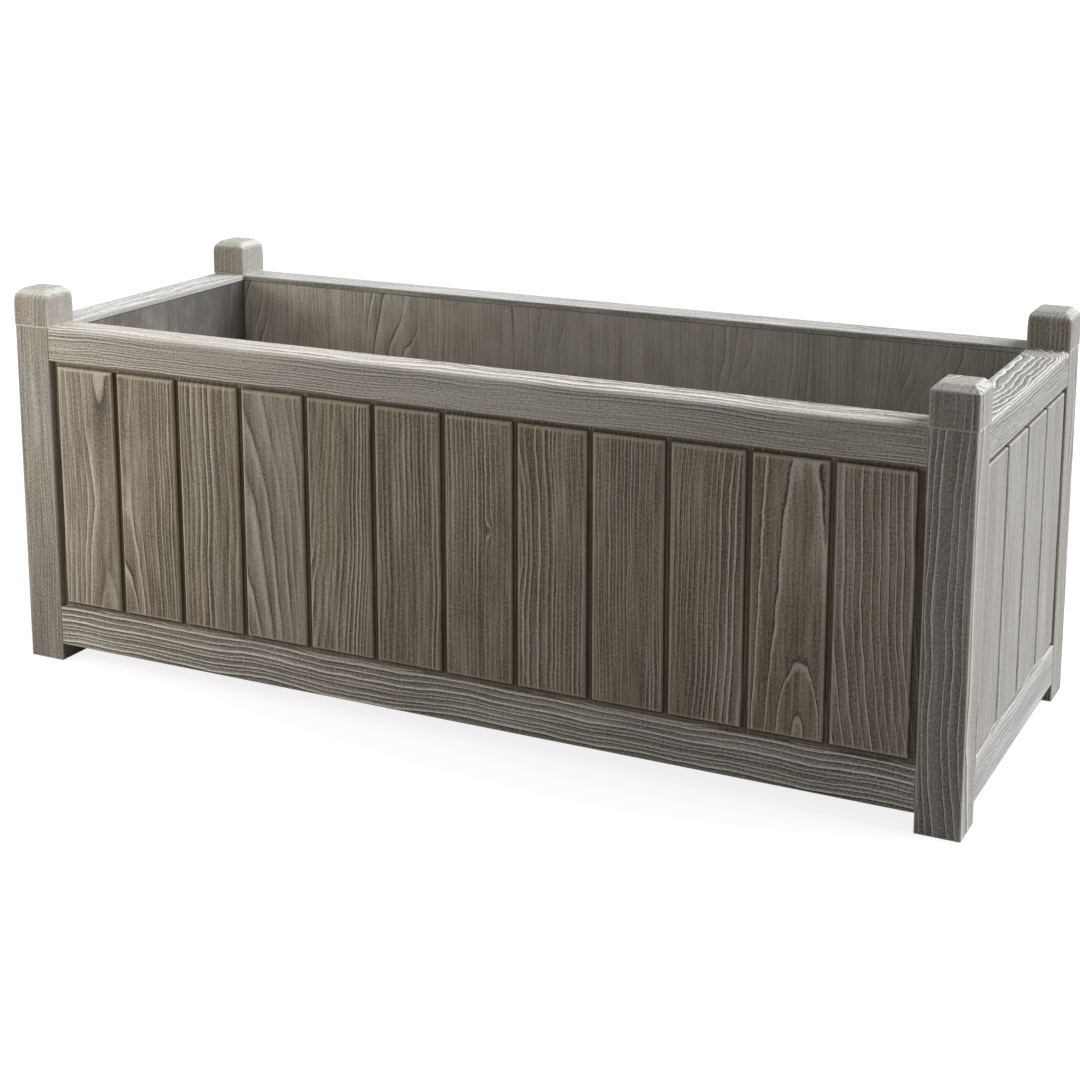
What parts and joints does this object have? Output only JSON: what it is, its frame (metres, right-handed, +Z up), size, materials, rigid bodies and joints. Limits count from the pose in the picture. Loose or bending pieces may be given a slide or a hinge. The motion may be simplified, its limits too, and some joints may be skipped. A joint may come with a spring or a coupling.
{
  "type": "planter",
  "caption": "Long rectangular wooden floor planter with square corner posts, bevelled post caps, railed tongue and groove board sides, a flat lining and a slatted floor.",
  "frame": {"origin": "middle of the footprint, on the ground that the four posts stand on", "axes": "+X to the right along the long front, +Y to the back, +Z up; the front faces -Y"},
  "size_m": [1.0012, 0.3912, 0.396],
  "materials": {
    "post_wood": "weathered grey, wire brushed",
    "cap_wood": "weathered grey, wire brushed",
    "rail_wood": "weathered grey, wire brushed",
    "board_wood": "weathered grey, wire brushed",
    "lining_wood": "weathered grey, flat sawn",
    "floor_wood": "weathered grey, sawn",
    "dowel_wood": "turned beech, plain",
    "screw_steel": "zinc plated"
  },
  "bodies": {
    "root": {"post_front_left": "post_wood", "post_front_right": "post_wood", "post_back_right": "post_wood", "post_back_left": "post_wood", "cap_front_left": "cap_wood", "cap_front_right": "cap_wood", "cap_back_right": "cap_wood", "cap_back_left": "cap_wood", "front_top_rail": "rail_wood", "front_bottom_rail": "rail_wood", "front_board_01": "board_wood", "front_board_02": "board_wood", "front_board_03": "board_wood", "front_board_04": "board_wood", "front_board_05": "board_wood", "front_board_06": "board_wood", "front_board_07": "board_wood", "front_board_08": "board_wood", "front_board_09": "board_wood", "front_board_10": "board_wood", "front_board_11": "board_wood", "front_board_12": "board_wood", "front_lining": "lining_wood", "right_top_rail": "rail_wood", "right_bottom_rail": "rail_wood", "right_board_1": "board_wood", "right_board_2": "board_wood", "right_board_3": "board_wood", "right_board_4": "board_wood", "right_lining": "lining_wood", "back_top_rail": "rail_wood", "back_bottom_rail": "rail_wood", "back_board_01": "board_wood", "back_board_02": "board_wood", "back_board_03": "board_wood", "back_board_04": "board_wood", "back_board_05": "board_wood", "back_board_06": "board_wood", "back_board_07": "board_wood", "back_board_08": "board_wood", "back_board_09": "board_wood", "back_board_10": "board_wood", "back_board_11": "board_wood", "back_board_12": "board_wood", "back_lining": "lining_wood", "left_top_rail": "rail_wood", "left_bottom_rail": "rail_wood", "left_board_1": "board_wood", "left_board_2": "board_wood", "left_board_3": "board_wood", "left_board_4": "board_wood", "left_lining": "lining_wood", "floor_bearer_1": "floor_wood", "floor_bearer_2": "floor_wood", "floor_bearer_3": "floor_wood", "floor_plank_1": "floor_wood", "floor_plank_2": "floor_wood", "floor_plank_3": "floor_wood", "cap_dowels": "dowel_wood", "floor_screws": "screw_steel"}
  },
  "joints": []
}
